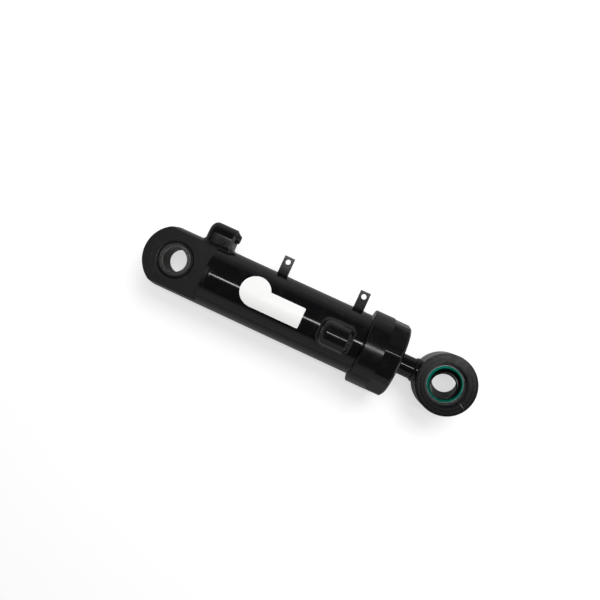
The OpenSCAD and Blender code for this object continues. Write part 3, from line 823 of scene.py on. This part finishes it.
class CYL_OT_base_eye(bpy.types.Operator):
    """Base eye with its pin bush and dust seals"""

    bl_idname = "cylinder.base_eye"
    bl_label = "Base eye"

    def execute(self, context):
        s = sizes()
        barrel_r = barrel_radius()
        lug_r = -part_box("base_eye")[0].x
        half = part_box("base_bush")[1].z
        bush_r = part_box("base_bush")[1].x
        seal_low, seal_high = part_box("base_dust_seal_front")
        weld_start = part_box("base_weld")[0].x
        eye = lathe("base_eye_body", rounded([
            (0, -lug_r - 4 * MM), (barrel_r, -lug_r - 4 * MM), (barrel_r, weld_start, 0.4 * MM),
            (0, weld_start)]))
        reach = weld_start + 10 * MM
        plan = arc((0, 0), lug_r, 90, 270, 96) + [(reach, -lug_r), (reach, lug_r)]
        shape(eye, slab("plan", plan, -barrel_r - MM, barrel_r + MM), "INTERSECT")
        for side in (1, -1):
            top = side * (barrel_r + 5 * MM)
            cut = rounded([(-lug_r - PAST, side * half), (s.lug_reach, side * half, 1.6 * MM),
                           (s.lug_reach, top), (-lug_r - PAST, top)], closed=True)
            shape(eye, slab("flat", cut, -lug_r - PAST, lug_r + PAST, "Y"))
        soften(eye, s.edge)
        seat = seal_low.z
        rim = seal_high.x + s.seat_chamfer
        ring, sunk = s.face_ring, -half + 0.35 * MM
        seal_r = seal_high.x
        above = -half - 2 * MM
        recess = [(0, above), (ring + 2 * MM, above), (ring + 0.35 * MM, -half), (ring, sunk)]
        chamfer = [(rim + 0.2 * MM, sunk), (rim - 0.5 * MM, sunk + 0.25 * MM),
                   (seal_r + 0.5 * MM, sunk + 2.1 * MM), (seal_r, sunk + 3 * MM)]
        cut_bore(eye, recess + chamfer + [(seal_r, -seat), (bush_r, -seat)], (0, 0, 0))
        cut_pocket(eye, -lug_r, 1)
        skin = enamel("black_paint_base_eye", gloss=0.06, centre=(0, 0, 0), face_gloss=finish().base_face)
        settle(eye, "barrel", "black_paint", skin, "base_eye")
        coat(turned_steel("bush_steel", tuple(finish().dark_steel), 0.2, "Z", (0, 0, 0)), "base_bush")
        coat(rubber(), "base_dust_seal_front", "base_dust_seal_rear")
        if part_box("base_grease_nipple")[1].x > -lug_r + POCKET_DEPTH + PAST:
            raise RuntimeError("the base nipple doesn't stand in its pocket")
        return {"FINISHED"}


class CYL_OT_barrel(bpy.types.Operator):
    """Barrel, the weld that joins it to the base, and the label"""

    bl_idname = "cylinder.barrel"
    bl_label = "Barrel"

    def execute(self, context):
        radius = barrel_radius()
        low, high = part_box("base_weld")
        toe_r, overlap = radius - 0.1 * MM, 0.3 * MM
        bead = bead_ring("base_weld_bead", (toe_r, low.x - overlap), (toe_r, high.x + overlap),
                         crown=0.12 * MM, ripple=4 * MM, depth=0.05 * MM)
        settle(bead, "barrel", "black_paint", enamel("black_paint_girth", gloss=0.07), "base_weld")
        coat(paint(), "barrel_tube")
        coat(label_vinyl("label_vinyl"), "data_label")
        return {"FINISHED"}


def boss_side(front, rear, half, bevel, dome):
    """Half width against place along X of a port boss, from its domed rear to its chamfered front."""
    side = [(half - dome + r, x) for r, x in arc((0, rear + dome), dome, -90, 0, 10)]
    edge = 0.6 * MM
    return side + rounded([(half, rear + dome), (half, front - bevel, edge), (half - bevel, front, edge),
                           (half - bevel - 2 * MM, front)])[1:-1]


def port_boss(name, front, rear, half, axis_y, foot_y):
    """A boss that stands on the barrel in +Y, round on top with straight sides, and open at its front."""
    s = sizes()
    bm = bmesh.new()
    steps = 48
    rings = []
    for r, x in boss_side(front, rear, half, s.boss_bevel, s.boss_dome):
        around = arc((axis_y, 0), r, 90, -90, steps)
        ring = [(foot_y, r)] + around + [(foot_y, -r)]
        rings.append([bm.verts.new((x, y, z)) for y, z in ring])
    count = len(rings[0])
    for low, high in zip(rings, rings[1:]):
        for i in range(count):
            j = (i + 1) % count
            bm.faces.new([low[i], low[j], high[j], high[i]])
    bm.faces.new(rings[0])
    bm.faces.new(rings[-1])
    boss = to_object(name, bm, sharp=20)
    port_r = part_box("base_port_plug")[1].z
    port_y = axis_y + s.port_rise
    thread_r, bottom, over = port_r - 1.2 * MM, front - 14 * MM, 0.2 * MM
    mouth = rounded([(0, bottom), (thread_r, bottom), (thread_r, front - MM),
                     (port_r - over, front + over), (0, front + over)])
    shape(boss, lathe("mouth", mouth, "X", (0, port_y, 0), steps=64))
    return boss


def port_plug(name, front, port_y):
    """A plastic plug: a thin flange and a round head with a dished end."""
    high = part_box("base_port_plug")[1]
    flange = high.z
    head = high.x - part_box("base_port_boss")[1].x
    nose = flange - 1.7 * MM
    end = front + head
    inner, seat, edge = front - 12 * MM, front + 0.05 * MM, 0.5 * MM
    outline = rounded([
        (0, inner), (nose - 0.6 * MM, inner), (nose, seat),
        (flange, seat, 0.3 * MM), (flange, front + 1.4 * MM, edge), (nose, front + 1.5 * MM, edge),
        (nose - 0.3 * MM, end, 1.1 * MM), (nose - 2.6 * MM, end, edge),
        (nose - 3.4 * MM, end - 1.2 * MM, 0.6 * MM), (0, end - 1.4 * MM)])
    return lathe(name, outline, "X", (0, port_y, 0), steps=96)


class CYL_OT_ports(bpy.types.Operator):
    """Port bosses with their welds and plugs"""

    bl_idname = "cylinder.ports"
    bl_label = "Ports"

    def execute(self, context):
        s = sizes()
        low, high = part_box("base_port_boss")
        barrel_r = barrel_radius()
        half, axis_y = high.z, high.y - high.z
        length = high.x - low.x
        rod_front = high.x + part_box("rod_port_plug")[1].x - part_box("base_port_plug")[1].x
        plastic = moulded("plug_plastic", (0.008, 0.008, 0.009), 0.3, 0.000012, 0.15)
        for end, front, turn in (("base", high.x, 0.0), ("rod", rod_front, s.port_turn)):
            rear = front - length
            foot_y = barrel_r - 7 * MM  # inside the barrel's wall, clear of its bore
            boss = port_boss(f"{end}_port_body", front, rear, half, axis_y, foot_y)
            side = boss_side(front, rear, half, s.boss_bevel, s.boss_dome)
            plan = [(x, r) for r, x in side] + [(x, -r) for r, x in reversed(side)]
            weld = weld_skirt(f"{end}_port_fillet", plan[::-1], barrel_r, s.boss_weld, s.boss_weld, 3.5 * MM,
                              front=0.5)
            plug = port_plug(f"{end}_port_cap", front, axis_y + s.port_rise)
            for piece in (boss, weld, plug):
                piece.data.transform(Matrix.Rotation(turn, 4, "X"))
            settle(boss, "barrel", "black_paint", enamel("black_paint_port", gloss=0.03), f"{end}_port_boss")
            settle(weld, "barrel", "black_paint", weld_paint(), f"{end}_port_weld")
            settle(plug, "barrel", "plug_plastic", plastic, f"{end}_port_plug")
        return {"FINISHED"}


class CYL_OT_pipe_tabs(bpy.types.Operator):
    """Pipe clamp tabs with their welds"""

    bl_idname = "cylinder.pipe_tabs"
    bl_label = "Pipe tabs"

    def execute(self, context):
        s = sizes()
        barrel_r = barrel_radius()
        for end in ("base", "rod"):
            low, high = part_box(f"pipe_tab_{end}")
            middle, half, thick = (low.x + high.x) / 2, (high.x - low.x) / 2, high.z
            plate = rounded([(low.x, barrel_r - 2 * MM), (high.x, barrel_r - 2 * MM), (high.x, high.y, MM),
                             (low.x, high.y, MM)], closed=True)
            tab = slab(f"pipe_tab_{end}_plate", plate, -thick, thick)
            hole_r = s.tab_hole / 2
            drill = [(0, -2 * thick), (hole_r, -2 * thick), (hole_r, 2 * thick), (0, 2 * thick)]
            shape(tab, lathe("hole", drill, "Z", (middle, high.y - s.tab_hole_back, 0), steps=64))
            soften(tab, 0.35 * MM, low=40)
            corners = ((-half, -thick), (half, -thick), (half, thick), (-half, thick))
            foot = rounded([(middle + x, z, 1.2 * MM) for x, z in corners], closed=True)
            weld = weld_skirt(f"pipe_tab_{end}_fillet", foot, barrel_r, s.tab_weld, s.tab_weld, 2.6 * MM)
            settle(tab, "barrel", "black_paint", enamel("black_paint_tab", gloss=0.02), f"pipe_tab_{end}")
            settle(weld, "barrel", "black_paint", weld_paint(), f"pipe_tab_weld_{end}")
        return {"FINISHED"}


class CYL_OT_gland(bpy.types.Operator):
    """Gland with the seals that it holds"""

    bl_idname = "cylinder.gland"
    bl_label = "Gland"

    def execute(self, context):
        s = sizes()
        low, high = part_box("gland")
        radius = high.z
        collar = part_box("barrel_tube")[1].x + s.gland_gap
        octagon = collar + s.gland_round
        rod_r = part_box("piston_rod")[1].z
        bore = rod_r + 0.4 * MM
        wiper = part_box("wiper_seal")[1].z
        nose_r = rod_r + 17 * MM
        thread_r = barrel_radius() - 6 * MM
        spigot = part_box("gland_o_ring")[0].x - 3 * MM
        spigot_r, spigot_end, wiper_seat = thread_r - 2.1 * MM, spigot + 14 * MM, high.x - 9 * MM
        corner = 2.5 * MM
        outline = rounded([
            (bore, low.x), (nose_r, low.x, MM), (nose_r, spigot), (spigot_r, spigot),
            (spigot_r, spigot_end), (thread_r, spigot_end), (thread_r, collar),
            (radius, collar, corner), (radius, octagon), (radius, octagon + 0.05 * MM),
            (radius, high.x - 4 * MM, corner), (radius - 5 * MM, high.x, 1.2 * MM),
            (wiper + 1.2 * MM, high.x, 0.4 * MM), (wiper, high.x - 1.1 * MM, 0.3 * MM),
            (wiper, wiper_seat), (bore, wiper_seat)])
        apothem = s.gland_flats / 2
        ease, side = 0.8 * MM, math.pi / 4

        def flats(r, x, angle):
            """The radius where the eight flats cut the collar, eased at their edges."""
            if x < octagon + 0.01 * MM or r < apothem - 6 * MM:
                return r
            off = (angle - s.gland_turn + side / 2) % side - side / 2
            flat = apothem / math.cos(off)
            near = max(ease - abs(r - flat), 0) / ease
            return min(r, flat) - near ** 2 * ease / 4

        nut = lathe("gland_nut", outline, steps=384, sharp=35, trim=flats)
        settle(nut, "barrel", "black_paint", enamel("black_paint_gland", gloss=0.08), "gland")
        coat(rubber(), "gland_o_ring")
        coat(moulded("wiper_rubber", (0.014, 0.014, 0.015), 0.36, 0.00001, 0.1), "wiper_seal")
        coat(moulded("white_ptfe", (0.8, 0.78, 0.7), 0.5, 0.000006, 0.0), "gland_backup_ring", "piston_seal")
        coat(turned_steel("bush_bronze", (0.62, 0.4, 0.2), 0.3, "X", (0, 0, 0)), "rod_bush")
        coat(moulded("amber_polyurethane", (0.5, 0.24, 0.06), 0.28, 0.000005, 0.0, 0.1), "buffer_seal")
        coat(moulded("blue_polyurethane", (0.03, 0.08, 0.32), 0.28, 0.000005, 0.0, 0.1), "rod_seal")
        return {"FINISHED"}


class CYL_OT_rod(bpy.types.Operator):
    """Rod and rod eye with the weld between them"""

    bl_idname = "cylinder.rod"
    bl_label = "Rod and rod eye"

    def execute(self, context):
        s = sizes()
        low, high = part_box("rod_eye")
        eye_r, half = high.y, high.z
        eye_x = high.x - eye_r
        rod_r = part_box("piston_rod")[1].z
        bearing_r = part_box("bearing_outer_ring")[1].y
        centre = (eye_x, 0, 0)
        neck_r = rod_r + 2.5 * MM
        flare_x = low.x + 7 * MM
        flare = arc((neck_r + s.neck_flare, flare_x), s.neck_flare, 180, 120, 15)
        start_x = low.x + 0.4 * MM
        stub = rounded([(0, start_x), (neck_r - 2.6 * MM, start_x), (neck_r, low.x + 3 * MM, 0.8 * MM),
                        (neck_r, flare_x)])
        neck = lathe("neck", stub + flare[1:] + [(eye_r * 0.62, eye_x), (0, eye_x)], steps=128)
        flat = half - 4 * MM
        ends = (low.x - MM, eye_x + MM)
        width = [(ends[0], -eye_r), (ends[1], -eye_r), (ends[1], eye_r), (ends[0], eye_r)]
        shape(neck, slab("width", width, -flat, flat), "INTERSECT")
        soften(neck, 2.2 * MM, low=30, segments=5)
        rim = 1.6 * MM
        outline = rounded([(0, -half), (eye_r, -half, rim), (eye_r, half, rim), (0, half)])
        eye = lathe("rod_eye_body", outline, "Z", centre, steps=224)
        shape(eye, neck, "UNION")
        groove_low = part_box("bearing_outer_ring")[1].z
        groove_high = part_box("snap_ring_front")[1].z + 0.1 * MM
        groove_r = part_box("snap_ring_front")[1].y + 0.1 * MM
        bore = [(0, half + MM), (bearing_r + 2.7 * MM, half + MM), (bearing_r + 1.4 * MM, half),
                (bearing_r, half - 1.05 * MM), (bearing_r, groove_high), (groove_r, groove_high),
                (groove_r, groove_low), (bearing_r, groove_low)]
        cut_bore(eye, bore, centre, steps=224)
        cut_pocket(eye, high.x, -1)
        skin = enamel("black_paint_rod_eye", gloss=0.05, centre=centre, face_gloss=finish().rod_face)
        settle(eye, "rod", "black_paint", skin, "rod_eye")
        overlap, reach = 0.2 * MM, 3.4 * MM
        weld = bead_ring("rod_eye_bead", (rod_r - overlap, low.x - reach), (neck_r + overlap, low.x + reach),
                         crown=0.7 * MM, ripple=3.2 * MM, depth=0.16 * MM)
        settle(weld, "rod", "black_paint", weld_paint(), "rod_eye_weld")
        coat(chrome_rod("chrome_rod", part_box("gland")[1].x - 0.5 * MM), "piston_rod")
        return {"FINISHED"}


class CYL_OT_bearing(bpy.types.Operator):
    """Spherical bearing with its seals and snap rings"""

    bl_idname = "cylinder.bearing"
    bl_label = "Bearing"

    def execute(self, context):
        low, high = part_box("bearing_outer_ring")
        centre = ((low.x + high.x) / 2, 0, 0)
        ball = turned_steel("bearing_steel", (0.2, 0.195, 0.195), 0.14, "Z", centre, 0.0002, 0.15)
        coat(ball, "bearing_inner_ring", "bearing_outer_ring")
        green = moulded("green_polyurethane", tuple(finish().seal), 0.22, 0.000004, 0.05, 0.15)
        coat(green, "bearing_seal_front", "bearing_seal_rear")
        coat(coated_steel("phosphated_steel", (0.035, 0.036, 0.038), (0.09, 0.09, 0.095), 0.42, 0.7),
             "snap_ring_front", "snap_ring_rear", "piston_nut")
        return {"FINISHED"}


class CYL_OT_piston(bpy.types.Operator):
    """Piston with its seal and wear rings"""

    bl_idname = "cylinder.piston"
    bl_label = "Piston"

    def execute(self, context):
        coat(turned_steel("machined_steel", (0.45, 0.45, 0.46), 0.26, "X", (0, 0, 0), 0.0003), "piston")
        fabric = woven_resin("wear_ring_fabric", (0.22, 0.24, 0.1))
        coat(fabric, "piston_wear_ring_rear", "piston_wear_ring_front")
        coat(rubber(), "piston_seal_energizer", "piston_o_ring")
        return {"FINISHED"}


class CYL_OT_nipples(bpy.types.Operator):
    """Grease nipples in the ends of the eyes"""

    bl_idname = "cylinder.nipples"
    bl_label = "Grease nipples"

    def execute(self, context):
        zinc = coated_steel("plated_steel", (0.62, 0.61, 0.55), (0.52, 0.5, 0.4), 0.24, 1.0)
        coat(zinc, "base_grease_nipple", "rod_grease_nipple")
        return {"FINISHED"}


# ---------------------------------------------------------------- stage


# The dark ceiling that reflections see is an ellipse on the sky, its middle moved towards +Y.
CEILING_MIDDLE = 0.087
CEILING_HALF_X = 0.8
CEILING_HALF_Y = 0.875
FLOOR_HALF = 4
STRIP_SIZE, STRIP_PLACE, STRIP_TARGET = (2.6, 0.25), (0.52, 0.5, 4), (0.52, 0, 0)
KEY_SIZE, KEY_PLACE, KEY_TARGET = (1.1, 0.9), (0.5, 0.95, 1.7), (0.25, 0, 0)
CAMERA_PLACE = (0.2626, 0.0342, 0.9561)
CAMERA_TURN = (0.71, 2.77, 24.72)  # degrees about X, Y and Z
SENSOR_WIDTH = 36


def lamp(name, size, power, where, target):
    """A rectangular lamp that faces a target, its long side along X."""
    data = bpy.data.lights.new(name, "AREA")
    data.shape = "RECTANGLE"
    data.size, data.size_y = size
    data.energy = power
    made = bpy.data.objects.new(name, data)
    bpy.context.scene.collection.objects.link(made)
    made.location = where
    made.rotation_euler = (Vector(where) - Vector(target)).to_track_quat("Z", "Y").to_euler()
    return made


def floor_finish(colour, glow_strength, mirrored_share):
    """Floor with a glow of its own to the eye, so that its shadows stay pale, and darker in reflections."""
    made = bpy.data.materials.new("floor_white")
    made.use_nodes = True
    tree = made.node_tree
    tree.nodes.clear()
    matt = put(tree, "BsdfDiffuse", {"Color": (*colour, 1)})
    dark = put(tree, "BsdfDiffuse", {"Color": (*[c * mirrored_share for c in colour], 1)})
    glow = put(tree, "Emission", {"Color": (1, 1, 1, 1), "Strength": glow_strength})
    both = put(tree, "AddShader", {0: matt.outputs[0], 1: glow.outputs[0]})
    ray = put(tree, "LightPath").outputs
    unseen = put(tree, "MixShader", {0: ray["Is Glossy Ray"], 1: matt.outputs[0], 2: dark.outputs[0]})
    mix = put(tree, "MixShader", {0: ray["Is Camera Ray"], 1: unseen.outputs[0], 2: both.outputs[0]})
    put(tree, "OutputMaterial", {"Surface": mix.outputs[0]})
    return made


def studio_sky(strength):
    """Soft white light all round. Reflections see a dark ceiling and pale walls."""
    world = bpy.data.worlds.new("studio")
    bpy.context.scene.world = world
    world.use_nodes = True
    tree = world.node_tree
    tree.nodes.clear()
    axes = put(tree, "SeparateXYZ", {"Vector": put(tree, "TexCoord").outputs["Generated"]}).outputs
    across = calc(tree, "DIVIDE", calc(tree, "SUBTRACT", axes["Y"], CEILING_MIDDLE), CEILING_HALF_Y)
    along = calc(tree, "DIVIDE", axes["X"], CEILING_HALF_X)
    squares = [times(tree, value, value) for value in (across, along)]
    wall = ramp(tree, calc(tree, "SQRT", plus(tree, *squares)), 0.94, 1.12, 0.02, 0.37)
    bright_end = times(tree, ramp(tree, axes["X"], 0.6, 1.0), 0.8)
    walls = plus(tree, wall, bright_end)
    ray = put(tree, "LightPath").outputs["Is Glossy Ray"]
    plain = put(tree, "Background", {"Color": (1, 1, 1, 1), "Strength": strength})
    mirrored = put(tree, "Background", {"Color": (0.98, 0.99, 1, 1), "Strength": walls})
    mix = put(tree, "MixShader", {0: ray, 1: plain.outputs[0], 2: mirrored.outputs[0]})
    put(tree, "OutputWorld", {"Surface": mix.outputs[0]})


class CYL_OT_stage(bpy.types.Operator):
    """Floor, light and camera"""

    bl_idname = "cylinder.stage"
    bl_label = "Stage"

    def execute(self, context):
        s = context.scene.stage_settings
        bm = bmesh.new()
        bmesh.ops.create_grid(bm, x_segments=4, y_segments=4, size=FLOOR_HALF)
        ground = to_object("floor", bm)
        ground.location = (0.25, 0, CAD_BOX[0].z)
        ground.data.materials.append(floor_finish(tuple(s.floor), s.glow, s.mirrored))
        studio_sky(s.sky)
        lamp("strip", STRIP_SIZE, s.strip, STRIP_PLACE, STRIP_TARGET)
        key = lamp("key", KEY_SIZE, s.key, KEY_PLACE, KEY_TARGET)
        key.visible_glossy = False
        camera = bpy.data.cameras.new("camera")
        camera.lens, camera.sensor_width = s.lens, SENSOR_WIDTH
        eye = bpy.data.objects.new("camera", camera)
        context.scene.collection.objects.link(eye)
        eye.location = CAMERA_PLACE
        eye.rotation_euler = [math.radians(angle) for angle in CAMERA_TURN]
        context.scene.camera = eye
        context.scene.view_settings.view_transform = "Standard"
        return {"FINISHED"}


# ---------------------------------------------------------------- add-on


PIECES = (
    CYL_OT_base_eye, CYL_OT_barrel, CYL_OT_ports, CYL_OT_pipe_tabs, CYL_OT_gland, CYL_OT_rod,
    CYL_OT_bearing, CYL_OT_piston, CYL_OT_nipples, CYL_OT_stage,
)


class CYL_PT_panel(bpy.types.Panel):
    """Pieces of the cylinder and their settings"""

    bl_idname = "CYL_PT_panel"
    bl_label = "Hydraulic cylinder"
    bl_space_type = "VIEW_3D"
    bl_region_type = "UI"
    bl_category = "Cylinder"

    def draw(self, context):
        column = self.layout.column()
        for piece in PIECES:
            column.operator(piece.bl_idname)
        for settings in ("cylinder_sizes", "cylinder_finish", "stage_settings"):
            box = self.layout.box()
            values = getattr(context.scene, settings)
            for name in values.__annotations__:
                box.prop(values, name)


SETTINGS = {
    "cylinder_sizes": CylinderSizes,
    "cylinder_finish": CylinderFinish,
    "stage_settings": StageSettings,
}
CLASSES = (*SETTINGS.values(), *PIECES, CYL_PT_panel)


def register():
    """Registers the classes and hangs the settings on the scene."""
    for made in CLASSES:
        bpy.utils.register_class(made)
    for name, kind in SETTINGS.items():
        setattr(bpy.types.Scene, name, PointerProperty(type=kind))


def unregister():
    """Takes the settings off the scene and unregisters the classes."""
    for name in SETTINGS:
        delattr(bpy.types.Scene, name)
    for made in reversed(CLASSES):
        bpy.utils.unregister_class(made)


def main():
    """Makes every piece and the stage, and writes the CAD box and the visual model's box."""
    register()
    for piece in PIECES:
        group_name, name = piece.bl_idname.split(".")
        getattr(getattr(bpy.ops, group_name), name)()


if __name__ == "__main__":
    main()
